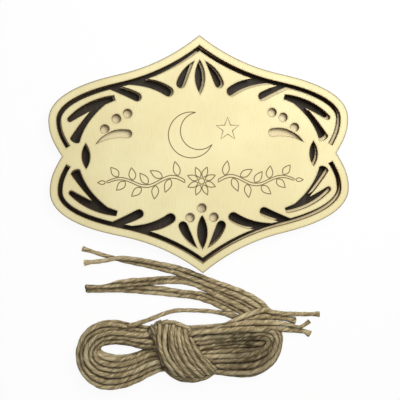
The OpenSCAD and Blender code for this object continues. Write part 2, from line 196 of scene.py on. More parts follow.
def woundPath(rng):
    # Each layer winds in or out, then climbs to the next. It starts and ends on the outermost turn.
    h = hank
    ring = np.arange(h["firstRing"], h["layers"] * h["layerRings"] - h["leftOff"], h["ringStep"])
    shifted = ring + h["ahead"]
    layer = np.floor(shifted / h["layerRings"])
    into = shifted - layer * h["layerRings"]
    flat = h["layerRings"] - h["climbRings"]
    share = np.minimum(into, flat) / flat
    share = np.where(layer % 2 == 0, 1 - share, share)
    climb = layer + np.maximum(0, into - flat) / h["climbRings"]
    fade = np.clip(np.minimum(ring - ring[0], ring[-1] - ring) / h["swayFade"], 0, 1)
    sway = slowNoise(rng, len(ring), h["ringStep"], h["swayWave"], 2)
    loose = (share + h["swayAcross"] * sway[:, 0] * fade)[:, None]
    x, y = (roundTurn(h["inner"], ring) * (1 - loose) + roundTurn(h["outer"], ring) * loose).T
    side = h["aside"] * np.interp(climb, range(h["layers"] + 1), h["sides"])
    y = y + side * (1 - share) * np.clip((x - h["asideFrom"]) / h["asideFade"], 0, 1)
    left, right = h["waist"]
    waist = np.clip((x - left) / h["waistFade"], 0, 1) * np.clip((right - x) / h["waistFade"], 0, 1)
    sinkX, sinkY = ((v - at) / size for v, at, size in zip((x, y), h["sinkAt"], h["sinkSize"]))
    hollow = np.exp(-sinkX ** 2 - sinkY ** 2)
    z = lowest + climb * h["high"] + h["swayUp"] * sway[:, 1] * fade
    z = z - climb / (h["layers"] - 1) * (h["dome"] * (2 * share - 1) ** 2 + h["sink"] * hollow)
    return np.column_stack([x, y, np.maximum(z + h["waistLift"] * waist, lowest)])


# How the wound cord settles: it wanders, and no stretch of it lies in another
settling = {
    "rounds": 130, "quickRounds": 40, "step": 1.5, "least": 1.5, "neighbours": 4, "held": 2,
    "wander": (0.35, 0.5, 0.35), "wave": 14, "fade": 12, "push": 0.25, "stiffness": 0.22, "pull": 0.012,
}


def settle(path, rng):
    s = settling
    start = evenPath(path, s["step"])
    n, held = len(start), s["held"]
    fade = np.minimum(1, np.minimum(np.arange(n), np.arange(n)[::-1]) / s["fade"])[:, None]
    aim = start + slowNoise(rng, n, s["step"], s["wave"], 3) * np.array(s["wander"]) * fade
    aim[:, 2] = np.maximum(aim[:, 2], lowest)
    want = start[:-2] + start[2:] - 2 * start[1:-1]
    place = aim.copy()
    for turn in range(s["rounds"]):
        far = ((place[:, None, :] - place[None, :, :]) ** 2).sum(2)
        a, b = np.nonzero(far < s["least"] ** 2)
        keep = b - a > s["neighbours"]
        a, b = a[keep], b[keep]
        gap = place[a] - place[b]
        long = np.linalg.norm(gap, axis=1)
        move = gap / np.maximum(long, small)[:, None] * ((s["least"] - long) * s["push"])[:, None]
        np.add.at(place, a, move)
        np.add.at(place, b, -move)
        bend = place[:-2] + place[2:] - 2 * place[1:-1]
        place[1:-1] += (bend - want) * s["stiffness"]
        place += (aim - place) * s["pull"]
        place[:, 2] = np.maximum(place[:, 2], lowest)
        place[:held] = start[:held]
        place[-held:] = start[-held:]
    return place


# The tie: turns that lean to the right as they go down and gather in the middle, over a few that lean the
# other way, and passes along its lower rim. The rows follow its edges from left to right:
# (x, y) of the upper edge, (x, y) of the lower edge, and the height of its top.
tie = {
    "widths": (1.5, 1.5), "seed": 2, "turns": 17, "around": 28, "squareness": 0.72, "bow": 1.3,
    "first": [(-2, 8, -5.8, -4.6, 7.2), (-0.6, 7.8, -3.2, -6, 7.4), (0.6, 7.4, 0, -6.8, 7.4)],
    "edges": [
        (-11.2, 7.6, -7.3, -3, 7.3), (-10.1, 9.3, -5.8, -4.6, 8.1), (-8.1, 10.3, -3, -6.6, 8.6),
        (-5.6, 10.4, 0.2, -7.8, 8.9), (-3.2, 10, 3.4, -8.1, 8.9), (-1, 9.2, 6.4, -7.8, 8.6), (0.8, 8, 9, -7, 8),
        (1.9, 6.7, 10.6, -6.2, 7.2),
    ],
    # Every other turn stands out, up and past both edges
    "raised": 0.5, "spread": 0.3,
    # How far the turns bow to the right half way down: for the first ones, then along the others
    "firstGather": (-1, -1, -0.5), "gather": ((0, 1.9), (0.12, 0.4), (0.3, -2.2), (0.7, -2), (1, 0)),
    "unevenGather": 0.35,
    # Passes along the rim from right to left and back, each with its height and how far in it lies
    "rim": [(10.5, -7.5), (7, -9.5), (2.7, -10.2), (-1.2, -9.6), (-4, -8), (-6.4, -5.8)],
    "rimRows": ((1, 0), (2.2, 0), (3.4, 0.1), (4.6, 0.45), (5.6, 1.1)),
    # Where a pass along the rim turns back, inside the hank, and how much of its height it keeps there
    "turnLeft": [(-8.4, -4), (-8.9, -2), (-7.6, -0.4), (-5.6, -0.4), (-4.6, -2), (-4.5, -4.4)],
    "turnRight": [(11.6, -5.6), (12, -3.6), (10.8, -2), (8.8, -2), (7.9, -3.8), (7.8, -6.2)],
    "turnHeight": 0.75,
    # The end takes the place of the last few points: up inside the hank, along the upper edge, and in again
    "replaced": 4,
    "last": [
        (-9.4, 1, 4.2), (-10.4, 4.4, 4.4), (-10.6, 7.4, 5.2), (-9.4, 9.2, 6.2), (-7.7, 10.3, 6.8), (-6, 10.8, 7),
        (-4.2, 10.7, 7.1), (-2.4, 10.25, 7.1), (-0.6, 9.6, 7), (1.2, 8.5, 6.7), (2.8, 6.8, 6), (3.6, 4.8, 5),
        (3.4, 3.2, 4.2),
    ],
    "step": 1.0, "wander": (0.3, 0.1, 0.12), "wave": 8,
}


def tiePath(rng):
    # Across the top of the hank along one row, and back up below it towards the next
    t = tie
    edges = np.array(t["edges"])
    at = np.linspace(0, len(edges) - 1, t["turns"])
    over = np.stack([np.interp(at, np.arange(len(edges)), edge) for edge in edges.T], 1)
    over[1::2, 4] += t["raised"]
    over[1::2, 1] += t["raised"] * t["spread"]
    over[1::2, 3] -= t["raised"] * t["spread"]
    rows = np.vstack([t["first"], over])
    gather = np.interp(np.linspace(0, 1, t["turns"]), *zip(*t["gather"]))
    gather = np.concatenate([t["firstGather"], gather + rng.normal(0, t["unevenGather"], t["turns"])])
    n = t["around"]
    points = []
    for k, row in enumerate(rows):
        following = rows[min(k + 1, len(rows) - 1)]
        for step in range(n):
            above = step < n / 2
            back = 0 if above else 2 * step / n - 1
            xHigh, yHigh, top = [(1 - back) * row[i] + back * following[i] for i in (0, 1, 4)]
            xLow, yLow = row[2], row[3]
            # Round the hank on an oval with flattened sides
            turn = 2 * math.pi * step / n
            c, s = (math.copysign(abs(v) ** t["squareness"], v) for v in (math.cos(turn), math.sin(turn)))
            y = (yHigh + yLow) / 2 + (yHigh - yLow) / 2 * c
            z = (top + lowest) / 2 + (top - lowest) / 2 * s
            down = max(0, (yHigh - y) / (yHigh - yLow))
            x = xHigh + (xLow - xHigh) * (down ** t["bow"] if above else down)
            points.append([x + (gather[k] * math.sin(math.pi * min(1, down)) if above else 0), y, z])
    points = points[:len(points) - n // 2 + 1]  # the last turn ends at the lower edge
    for k, (z, inward) in enumerate(t["rimRows"]):
        along = t["rim"] if k % 2 == 0 else t["rim"][::-1]
        points += [(x, y + inward, z) for x, y in (along if k == 0 else along[1:])]
        points += [(x, y, t["turnHeight"] * z) for x, y in t["turnLeft" if k % 2 == 0 else "turnRight"]]
    points = evenPath(np.array(points[:-t["replaced"]] + t["last"]), t["step"])
    return points + slowNoise(rng, len(points), t["step"], t["wave"], 3) * np.array(t["wander"])


rng = np.random.default_rng(hank["routeSeed"])
rough = woundPath(rng)

# The loose strands: points along their middles, widths from one end to the other, and how far the ends fray
leftTails = {
    "seed": 10, "widths": (1.45, 1.9, 2.1), "frayed": (0.45, 0.45, 0.15, 0.15, 0.15, 0.15),
    "routes": [
        [(-33.3, 35.2, 0.8), (-24.8, 32.3, 0.8), (-18, 30.4, 0.9), (-11, 28.8, 0.9), (-4, 26.9, 0.9),
         (1.5, 25, 1.3), (6.2, 23.1, 1.7), (10.5, 21.3, 1.7), (14.8, 19.7, 1.7), (19.5, 17.8, 1.7),
         (23.5, 15.7, 1.7), (26.2, 13.6, 1.4), (28.2, 11.2, 1), (29.5, 8.6, 0.9), (29.6, 6.2, 1)],
        # The second one runs on into the winding
        [(-32.7, 30.4, 0.8), (-26.5, 31, 2), (-21, 31.9, 2.4), (-15, 31.2, 2.3), (-8, 29.6, 1.8), (-2, 28.1, 1),
         (2.5, 26.4, 0.85), (6.8, 24.6, 0.85), (11, 22.8, 0.85), (15.4, 21.2, 0.85), (20.2, 19.2, 0.85),
         (24.3, 17.1, 0.85), (27.4, 14.8, 0.85), (29.6, 12.2, 0.85), (31, 9.6, 0.85), tuple(rough[0])],
        [(-32.6, 22.3, 0.8), (-26.3, 22.15, 0.8), (-22.4, 23.3, 0.8), (-18, 23.95, 0.85), (-13.4, 24.15, 0.85),
         (-8.7, 24.35, 0.85), (-5.5, 24.45, 0.85), (-2.2, 24.35, 0.85), (1.8, 23.6, 0.85), (6, 22.1, 0.85),
         (10, 20.3, 0.85), (14.2, 18.5, 0.85), (18.6, 16.6, 0.85), (22.2, 14.7, 0.85), (24.8, 12.7, 0.85),
         (26.9, 10.5, 0.85), (28.2, 8.2, 0.85), (28, 6, 1)],
        [(-32.1, 22.2, 2), (-26.3, 22.1, 2.1), (-22.2, 22.4, 1.6), (-18, 22.7, 0.9), (-13.4, 22.85, 0.85),
         (-8.5, 23.25, 1.2), (-5.5, 23.5, 1.7), (-2.2, 23.45, 1.7), (2, 22.9, 1.6), (5.6, 21.6, 1.6),
         (8.6, 20, 1.8), (13.6, 17.3, 1.8), (17.6, 15.4, 1.8), (20.8, 13.6, 1.8), (23.3, 11.7, 1.7),
         (25.1, 9.7, 1.3), (25.8, 7.4, 1)],
        [(-32.4, 21.2, 0.8), (-26.3, 21.1, 0.8), (-22.2, 21.5, 0.8), (-18, 21.5, 0.85), (-13.4, 21.45, 0.85),
         (-8.3, 21.2, 0.85), (-5, 20.6, 0.85), (-2, 19.95, 0.85), (2, 19.3, 0.85), (6, 18.8, 0.85),
         (9.8, 17.5, 0.85), (13.4, 15.8, 0.85), (16.9, 14, 0.85), (19.8, 12.3, 0.85), (22.2, 10.3, 0.85),
         (23.6, 8, 0.9)],
        [(-31.9, 21.1, 2), (-26.2, 21.05, 2.1), (-22.2, 20.95, 1.6), (-18, 20.6, 0.95), (-13.4, 20.15, 0.85),
         (-6.1, 19.3, 0.85), (-1, 18.7, 1.2), (2.2, 18.3, 1.4), (5.4, 17.7, 1.3), (9.6, 16.2, 1.3),
         (12.8, 14.6, 1.7), (15.6, 12.9, 1.6), (17.9, 10.9, 1.2), (19.6, 8.7, 1), (20.2, 6.6, 1)],
    ],
}
archStrand = {
    "seed": 3, "widths": (1.75, 1.55, 1.55, 2.05, 2), "frayed": 0.35,
    "route": [
        (-21.5, 8.3, 2.4), (-19, 8.9, 2.8), (-16.3, 9.6, 3.5), (-13.2, 10.6, 4), (-10.1, 11.6, 3.7),
        (-6.2, 12.9, 3), (-2.4, 13.6, 2), (2.1, 13.4, 1.1), (6.6, 13.1, 0.9), (10.4, 12.7, 0.95), (13, 12.3, 1.5),
        (15.7, 11.8, 3), (18.5, 11, 3.5), (21.7, 10.6, 3.8), (25.1, 10.9, 3.6), (28.5, 10.9, 3.3),
        (32, 10.4, 2.5), (35.6, 9.6, 1.5), (38.6, 8.8, 1.2),
    ],
}
rightTails = {
    "seed": 20, "widths": [(1.8, 1.85, 1.85, 1.5), (1.8, 1.9, 2.15, 1.2), (1.8, 1.9, 2.15, 1.7)], "frayed": 0.4,
    "routes": [
        [(-3.5, 7.4, 5), (2, 7.9, 5.2), (7.2, 7.8, 5.2), (11.1, 8, 5.1), (14.4, 8.9, 5), (17.1, 10.1, 4.9),
         (20.5, 11.6, 4.8), (23.8, 12.6, 4.7), (26.7, 13.3, 4.3), (28.8, 13.1, 3.8), (31.4, 12, 2.8),
         (35.6, 11.3, 1.6), (41.4, 10.9, 0.9), (47.1, 10.8, 0.85)],
        [(-3.2, 6.2, 5.8), (2, 7, 6.2), (7.2, 7.3, 6.4), (11, 7.7, 6.4), (15.9, 8.8, 6.2), (21.4, 9.4, 5.8),
         (26.5, 9.3, 5.2), (31.1, 8.8, 4.2), (35.3, 7.9, 2.8), (39.5, 6.5, 1.6), (41.6, 7, 1), (43.7, 8.4, 0.85)],
        [(-2.4, 5.4, 7), (2.6, 6.8, 7.6), (6.5, 7.3, 7.7), (10.3, 7.4, 7.5), (15.8, 7.6, 7.2), (21.3, 7.6, 6.9),
         (26.3, 7.2, 6.2), (30.9, 6.95, 5), (35.1, 6.2, 3.4), (39.4, 5.5, 1.8), (41.8, 5, 1.1),
         (43.6, 4.1, 0.9)],
    ],
}


# One strand of twine: two twisted plies, cut ends and loose fibres. Lengths and waves are in millimetres.
twine = {
    "step": 0.4, "easing": 5, "around": 12, "plies": 2, "pitch": 9, "firstTurn": 6, "groove": 0.17, "crest": 0.7,
    "uneven": 0.06, "unevenWave": 5, "slack": 0.6, "slackWave": 9, "rough": 0.025, "toneWave": 12,
    "aboveFloor": 1.07, "layScale": 0.5, "flareLength": 2.4, "flarePower": 1.5,
    # The cut ends: how far in the bowl's ring lies and how far it and the tip stand out, then their looks, the last
    # of them the painted shade in the bowl
    "bowl": 0.5, "bowlOut": 0.12, "tipOut": 0.02,
    "cutLay": (0.3, 0.9), "cutLayAlong": 3.0, "cutLaySpread": (0.6, 1.4), "cutPly": (0.2, 0.9), "cutTone": -0.5,
    "cutEndShade": 0.3,
    # The fibres
    "fibresPerMm": 0.45, "fibreR": 0.02, "fibreTaper": 0.6, "fibreSides": 3, "fibrePoints": 5,
    "fibreLength": (0.5, 1.4), "fibreRise": 0.14, "leastRise": 0.1, "fibreArch": 0.06, "fibreCurl": 1.5,
    "fibreAside": 0.7, "fibreRoot": 0.86, "fibreLowest": 0.06, "fibreEndGap": (3, 4), "fibreLay": (0.4, 0.2),
    "fibrePly": 0.95, "fibreTone": 0.3,
    # How near another strand's middle a place is in a groove between strands, and where that fades out: this sets
    # the painted shade in the grooves between strands
    "crease": (1.02, 1.75), "tightCrease": (0.7, 1.25), "creaseReach": 2.9, "creaseApart": 11,
}


def strandShape(name, points, widths, seed, flares=(0, 0)):
    # A strand along points in the hank's frame: its rings, and the values its material reads
    t = twine
    rng = np.random.default_rng(seed)
    path = evenPath(smoothPath(points, t["step"]), t["step"])
    for turn in range(t["easing"]):
        path[1:-1] = (path[:-2] + 2 * path[1:-1] + path[2:]) / 4
    n = len(path)
    way, across, over = frames(path)
    gone = np.arange(n) * pathLength(path) / (n - 1)
    width = np.interp(gone / gone[-1], np.linspace(0, 1, len(widths)), widths)
    r = width / 2 * (1 + t["uneven"] * slowNoise(rng, n, t["step"], t["unevenWave"])[:, 0])
    for flared, reach in zip(flares, (gone, gone[::-1])):
        r = r * (1 + flared * np.clip(1 - reach / t["flareLength"], 0, 1) ** t["flarePower"])
    path[:, 2] = np.maximum(path[:, 2], t["aboveFloor"] * r)
    start = rng.uniform(0, t["firstTurn"])
    twist = 2 * np.pi * gone / t["pitch"] + start + t["slack"] * slowNoise(rng, n, t["step"], t["slackWave"])[:, 0]
    own = np.linspace(0, 2 * np.pi, t["around"], endpoint=False)[None, :] - twist[:, None]
    crest = np.abs(np.cos(t["plies"] * own / 2)) ** t["crest"]
    radius = r[:, None] * (1 - t["groove"] * (1 - crest)) * (1 + t["rough"] * rng.normal(0, 1, (n, t["around"])))
    tone = slowNoise(rng, n, t["step"], t["toneWave"])[:, 0]
    return {
        "name": name, "path": path, "rings": ringsAround(path, across, over, t["around"], radius), "own": own,
        "crest": crest, "tone": tone, "gone": gone, "way": way, "across": across, "over": over, "r": r,
        "flares": flares, "rng": rng,
    }


def paintShadeInCreases(strands):
    # For each strand, the painted shade at each place on its surface: how deep in a groove between strands it lies
    t = twine
    owner = np.concatenate([np.full(len(one["path"]), k) for k, one in enumerate(strands)])
    index = np.concatenate([np.arange(len(one["path"])) for one in strands])
    places = np.vstack([one["path"] for one in strands])
    tree = KDTree(len(places))
    for i, place in enumerate(places):
        tree.insert(place, i)
    tree.balance()
    for k, one in enumerate(strands):
        rings = one["rings"]
        near, far = t["tightCrease" if one["name"].endswith("wrap") else "crease"]
        depth = np.zeros(rings.shape[:2])
        for i, place in enumerate(one["path"]):
            found = np.array([hit[1] for hit in tree.find_range(place, t["creaseReach"])])
            found = found[(owner[found] != k) | (np.abs(index[found] - i) > t["creaseApart"])]
            if len(found):
                gap = np.linalg.norm(rings[i][:, None, :] - places[found][None, :, :], axis=2).min(1)
                depth[i] = np.clip((far - gap) / (far - near), 0, 1)
        # The winding also gets painted deep shade where the fold lies in shade
        if one["name"].endswith("winding"):
            hollow = 0
            for at, size, amount in hank["shade"]:
                away = (rings[:, :, :2] - at) / size
                hollow = hollow + amount * np.exp(-away[:, :, 0] ** 2 - away[:, :, 1] ** 2)
            depth = np.maximum(depth, np.minimum(1, hollow))
        one["depth"] = depth


def addPoints(parts, verts, lay, ply, tone, deep):
    # Adds points with their values, one for all or one for each, and gives the number of the first
    first, n = sum(len(v) for v in parts["verts"]), len(verts)
    parts["verts"].append(verts)
    parts["lay"].append(np.broadcast_to(lay, (n, 3)))
    for key, value in (("ply", ply), ("tone", tone), ("deep", deep)):
        parts[key].append(np.broadcast_to(value, n))
    return first


def cutEnds(one, parts, faces):
    # A shallow bowl of fibre ends, drawn out a little where the end is frayed
    t = twine
    n, k = one["rings"].shape[:2]
    for end, flared in enumerate(one["flares"]):
        ring = 0 if end == 0 else n - 1
        outward = -one["way"][0] if end == 0 else one["way"][-1]
        middle = one["path"][ring]
        inner = middle + (one["rings"][ring] - middle) * t["bowl"] + outward * (t["bowlOut"] if flared else 0)
        tip = middle + outward * (t["tipOut"] if flared else 0)
        lay = np.array([*t["cutLay"], one["gone"][ring] + t["cutLayAlong"]])
        lay = lay * one["rng"].uniform(*t["cutLaySpread"], (k + 1, 1))
        ply = one["rng"].uniform(*t["cutPly"], k + 1)
        # The bowl gets a little painted shade
        first = addPoints(parts, np.vstack([inner, tip[None, :]]), lay, ply, t["cutTone"], t["cutEndShade"])
        for j in range(k):
            beside = (j + 1) % k
            wall = [ring * k + j, ring * k + beside, first + beside, first + j]
            bottom = [first + j, first + beside, first + k]
            faces += [wall[::-1], bottom[::-1]] if end == 1 else [wall, bottom]


def looseFibres(one, parts, faces):
    # Fine three-sided hairs that leave the surface at a low angle
    t = twine
    rng, gone, path, way = (one[key] for key in ("rng", "gone", "path", "way"))
    count = int(gone[-1] * t["fibresPerMm"])
    firstGap, lastGap = t["fibreEndGap"]
    at = rng.integers(firstGap, max(firstGap + 1, len(path) - lastGap), count)
    turn = rng.uniform(0, 2 * np.pi, count)
    length = rng.uniform(*t["fibreLength"], count)
    lean = rng.choice([-1.0, 1.0], count)
    rise = rng.uniform(t["leastRise"], 1, count) ** 2 * t["fibreRise"]
    share = np.linspace(0, 1, t["fibrePoints"])
    thin = (t["fibreR"] * (1 - t["fibreTaper"] * share))[:, None]
    for h, base in enumerate(at):
        outwards = one["across"][base] * math.cos(turn[h]) + one["over"][base] * math.sin(turn[h])
        sideways = np.cross(way[base], outwards)
        along = unit(way[base] * lean[h] + sideways * rng.uniform(-t["fibreAside"], t["fibreAside"]))
        root = path[base] + outwards * one["r"][base] * t["fibreRoot"]
        lifted = rise[h] * share ** t["fibreCurl"] + t["fibreArch"] * np.sin(np.pi * share)
        line = root + along * (share * length[h])[:, None] + outwards * lifted[:, None]
        line[:, 2] = np.maximum(line[:, 2], t["fibreLowest"])
        rings = ringsAround(line, *frames(line)[1:], t["fibreSides"], thin).reshape(-1, 3)
        lay, tone = [*t["fibreLay"], gone[base]], t["fibreTone"] * rng.normal()
        first = addPoints(parts, rings, lay, t["fibrePly"], tone, 0)
        faces += ringFaces(len(share), t["fibreSides"], first).tolist()


def strandMesh(one):
    t = twine
    n, k = one["rings"].shape[:2]
    path, own, gone = one["path"], one["own"], one["gone"]
    lay = np.stack([np.cos(own) * t["layScale"], np.sin(own) * t["layScale"], np.repeat(gone[:, None], k, 1)], 2)
    parts = {key: [] for key in ("verts", "lay", "ply", "tone", "deep")}
    faces = np.roll(ringFaces(n, k), -1, 1).tolist()  # the roll sets which way each face is split in two
    # The deep values are the painted shade in the grooves and hollows between strands
    addPoints(
        parts, one["rings"].reshape(-1, 3), lay.reshape(-1, 3), one["crest"].ravel(), np.repeat(one["tone"], k),
        one["depth"].ravel(),
    )
    cutEnds(one, parts, faces)
    looseFibres(one, parts, faces)
    values = {key: np.concatenate(parts[key]) for key in ("lay", "ply", "tone", "deep")}
    made = makeMesh(one["name"], (np.vstack(parts["verts"]) + hank["at"]) * mm, faces, jute, values)
    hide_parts(one["name"].replace("jute_", ""))
    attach(made, "hank")
    line = (path + hank["at"]) * mm


# Materials
class Wire:
    # A socket of one node tree, with sums written as sums
    def __init__(self, tree, socket):
        self.tree = tree
        self.socket = socket

    def node(self, kind, settings=None, values=None, out=0):
        made = self.tree.nodes.new(kind)
        for key, value in (settings or {}).items():
            setattr(made, key, value)
        for key, value in (values or {}).items():
            if isinstance(value, Wire):
                self.tree.links.new(value.socket, made.inputs[key])
            else:
                made.inputs[key].default_value = value
        return Wire(self.tree, made.outputs[out])

    def isWide(self):
        return self.socket.type in ("VECTOR", "RGBA")

    def reckon(self, operation, left, right=0.0):
        # Vector Math where either side is a vector or a colour, else Math
        wide = any(v.isWide() if isinstance(v, Wire) else isinstance(v, tuple) for v in (left, right))
        if wide:
            left, right = [v if isinstance(v, (Wire, tuple)) else (v, v, v) for v in (left, right)]
        kind = "ShaderNodeVectorMath" if wide else "ShaderNodeMath"
        return self.node(kind, {"operation": operation}, {0: left, 1: right})

    def __abs__(self):
        return self.reckon("ABSOLUTE", self)

    def __add__(self, other):
        return self.reckon("ADD", self, other)

    def __radd__(self, other):
        return self.reckon("ADD", other, self)

    def __sub__(self, other):
        return self.reckon("SUBTRACT", self, other)

    def __rsub__(self, other):
        return self.reckon("SUBTRACT", other, self)

    def __mul__(self, other):
        return self.reckon("MULTIPLY", self, other)

    def __rmul__(self, other):
        return self.reckon("MULTIPLY", other, self)

    def ramp(self, low, high):
        # 0 below low, 1 above high, smooth between
        values = {"Value": self, "From Min": low, "From Max": high}
        return self.node("ShaderNodeMapRange", {"interpolation_type": "SMOOTHSTEP"}, values)

    def blend(self, first, second):
        # The first colour where this is 0, the second where it is 1
        return self.node("ShaderNodeMix", {"data_type": "RGBA"}, {0: self, 6: first, 7: second}, 2)

    def noise(self, stretch, detail, roughness=0.5):
        # Noise on this place: the larger the stretch, the finer its grains
        values = {"Vector": self * stretch, "Scale": 1.0, "Detail": detail, "Roughness": roughness}
        return self.node("ShaderNodeTexNoise", values=values)

    def attribute(self, name, out="Fac"):
        return self.node("ShaderNodeAttribute", {"attribute_name": name}, out=out)

    def bump(self, strength, distance):
        return self.node("ShaderNodeBump", values={"Strength": strength, "Distance": distance, "Height": self})


def linear(*rgb):
    # A colour as seen on screen, 0 to 255, as the shader needs it
    return tuple((v / 255 / 12.92 if v <= 10 else ((v / 255 + 0.055) / 1.055) ** 2.4) for v in rgb) + (1.0,)


def material(name, constants):
    # A new material, and a wire from its shader that starts its other nodes
    made = bpy.data.materials.new(name)
    made.use_nodes = True
    shader = made.node_tree.nodes["Principled BSDF"]
    for key, value in constants.items():
        shader.inputs[key].default_value = value
    return made, Wire(made.node_tree, shader.outputs[0])


def finish(made, inputs):
    shader = made.node_tree.nodes["Principled BSDF"]
    for key, wire in inputs.items():
        made.node_tree.links.new(wire.socket, shader.inputs[key])
    return made


# Each pattern is a noise (stretch, detail, roughness), with the part of it that shows and how strongly
wood = {
    "face": linear(246, 235, 186), "faceDeep": linear(234, 220, 168), "grain": linear(222, 204, 150),
    "burnt": linear(92, 66, 30), "wall": linear(104, 68, 40), "wallPale": linear(152, 114, 72),
    "floor": linear(240, 228, 186), "floorDeep": linear(224, 208, 164),
    "dark": linear(50, 43, 34), "darkDeep": linear(36, 28, 20),
    "constants": {"Roughness": 0.62, "Specular IOR Level": 0.25},
    "faceGrain": 0.28, "ledgeGrain": 0.35, "darkGrain": 0.05, "flat": (0.5, 0.8),
    "clouds": ((55.0, 55.0, 55.0), 3.0), "cloudsShow": (0.35, 0.7), "cloudAmount": 0.6,
    "lines": ((2600.0, 220.0, 2600.0), 4.0, 0.6), "linesShow": (0.45, 0.75),
    "pores": ((6500.0, 900.0, 6500.0), 2.0), "poresShow": (0.62, 0.74), "poreAmount": 0.8,
    "streaks": ((2600.0, 2600.0, 260.0), 2.0), "streaksShow": (0.3, 0.75),
    "relief": (0.12, 0.0002), "lineRelief": 0.6, "streakRelief": 0.4, "rough": 0.55, "lineRough": 0.18,
}


def woodMaterial(name, top, topDeep, grainAmount):
    made, w = material(name, wood["constants"])
    place = w.node("ShaderNodeTexCoord", out="Object")
    normal = w.node("ShaderNodeNewGeometry", out="Normal")
    flatness = abs(w.node("ShaderNodeSeparateXYZ", values={0: normal}, out="Z")).ramp(*wood["flat"])
    clouds = place.noise(*wood["clouds"]).ramp(*wood["cloudsShow"])
    lines = place.noise(*wood["lines"])
    pores = place.noise(*wood["pores"]).ramp(*wood["poresShow"])
    colour = (clouds * wood["cloudAmount"]).blend(top, topDeep)
    colour = (lines.ramp(*wood["linesShow"]) * grainAmount).blend(colour, wood["grain"])
    colour = (pores * (grainAmount * wood["poreAmount"])).blend(colour, wood["grain"])
    # The burn and shade attribute darkens towards the burnt colour: scorch at the cut edges and in the engraving,
    # and also painted shade further in on the ledges
    colour = w.attribute("burnAndShade").blend(colour, wood["burnt"])
    # The cut walls: scorched, with fine upright streaks from the beam
    streaks = place.noise(*wood["streaks"])
    wall = streaks.ramp(*wood["streaksShow"]).blend(wood["wall"], wood["wallPale"])
    colour = flatness.blend(wall, colour)
    height = lines * wood["lineRelief"] + streaks * wood["streakRelief"]
    rough = wood["rough"] + lines * wood["lineRough"]
    return finish(made, {"Base Color": colour, "Normal": height.bump(*wood["relief"]), "Roughness": rough})


faceWood = woodMaterial("face_wood", wood["face"], wood["faceDeep"], wood["faceGrain"])
ledgeWood = woodMaterial("ledge_wood", wood["floor"], wood["floorDeep"], wood["ledgeGrain"])
darkWood = woodMaterial("dark_wood", wood["dark"], wood["darkDeep"], wood["darkGrain"])

fibre = {
    "mid": linear(186, 167, 128), "pale": linear(234, 218, 176), "deep": linear(136, 117, 82),
    # groove and hollow are the colours of the painted shade between the plies and between the strands
    "groove": linear(102, 86, 56), "hollow": linear(68, 56, 34),
    "constants": {"Roughness": 0.8, "Specular IOR Level": 0.2, "Sheen Weight": 0.1, "Sheen Roughness": 0.5},
    "hairs": ((7.0, 7.0, 0.5), 3.0, 0.6), "midShows": (0.38, 0.56), "paleShows": (0.5, 0.64), "paleAmount": 0.95,
    "patches": ((1.6, 1.6, 0.3), 2.0), "patchesShow": (0.5, 0.72), "patchAmount": 0.45,
    "toneShows": (0.1, 1.1), "toneAmount": 0.5, "brokenShows": (0.3, 0.62), "brokenAmount": 0.6,
    "grooveShadeShows": (0.2, 0.7), "grooveShadeAmount": 0.65, "hollowShadeShows": (0.15, 1.0), "hollowShadeAmount": 0.95,
    "relief": (0.8, 0.0002), "rough": 0.72, "hairRough": 0.2,
}


def juteMaterial():
    f = fibre
    made, w = material("jute", f["constants"])
    lay = w.attribute("lay", "Vector")
    hairs = lay.noise(*f["hairs"])
    patches = lay.noise(*f["patches"])
    colour = hairs.ramp(*f["midShows"]).blend(f["deep"], f["mid"])
    colour = (hairs.ramp(*f["paleShows"]) * f["paleAmount"]).blend(colour, f["pale"])
    colour = (patches.ramp(*f["patchesShow"]) * f["patchAmount"]).blend(colour, f["deep"])
    colour = (w.attribute("tone").ramp(*f["toneShows"]) * f["toneAmount"]).blend(colour, f["pale"])
    # Painted shade in the grooves between the plies and in the hollows between the strands, broken up by the patches
    broken = patches.ramp(*f["brokenShows"]) * f["brokenAmount"] + (1 - f["brokenAmount"])
    groove = (1.0 - w.attribute("ply").ramp(*f["grooveShadeShows"])) * broken * f["grooveShadeAmount"]
    colour = groove.blend(colour, f["groove"])
    colour = (w.attribute("deep").ramp(*f["hollowShadeShows"]) * broken * f["hollowShadeAmount"]).blend(colour, f["hollow"])
    rough = f["rough"] + hairs * f["hairRough"]
    return finish(made, {"Base Color": colour, "Normal": hairs.bump(*f["relief"]), "Roughness": rough})


jute = juteMaterial()
print("materials made")

windingLine = settle(rough, rng)
strands = [
    strandShape("jute_twine_winding", windingLine, hank["widths"], hank["seed"]),
    strandShape("jute_twine_wrap", tiePath(rng), tie["widths"], tie["seed"]),
    strandShape(
        "jute_arch_strand", archStrand["route"], archStrand["widths"], archStrand["seed"], (0, archStrand["frayed"]),
    ),
]
for i, route in enumerate(leftTails["routes"]):
    frayed = (leftTails["frayed"][i], 0)
    strands.append(strandShape(f"jute_left_tail_{i + 1}", route, leftTails["widths"], leftTails["seed"] + i, frayed))
for i, route in enumerate(rightTails["routes"]):
    frayed = (0, rightTails["frayed"])
    widths, seed = rightTails["widths"][i], rightTails["seed"] + i
    strands.append(strandShape(f"jute_right_tail_{i + 1}", route, widths, seed, frayed))
paintShadeInCreases(strands)
for one in strands:
    strandMesh(one)
print("twine made")


# The plaque
for name, look in (("front_panel", faceWood), ("middle_panel", ledgeWood), ("back_panel", darkWood)):
    node = nodes[name]
    node.data.materials.clear()
    node.data.materials.append(look)

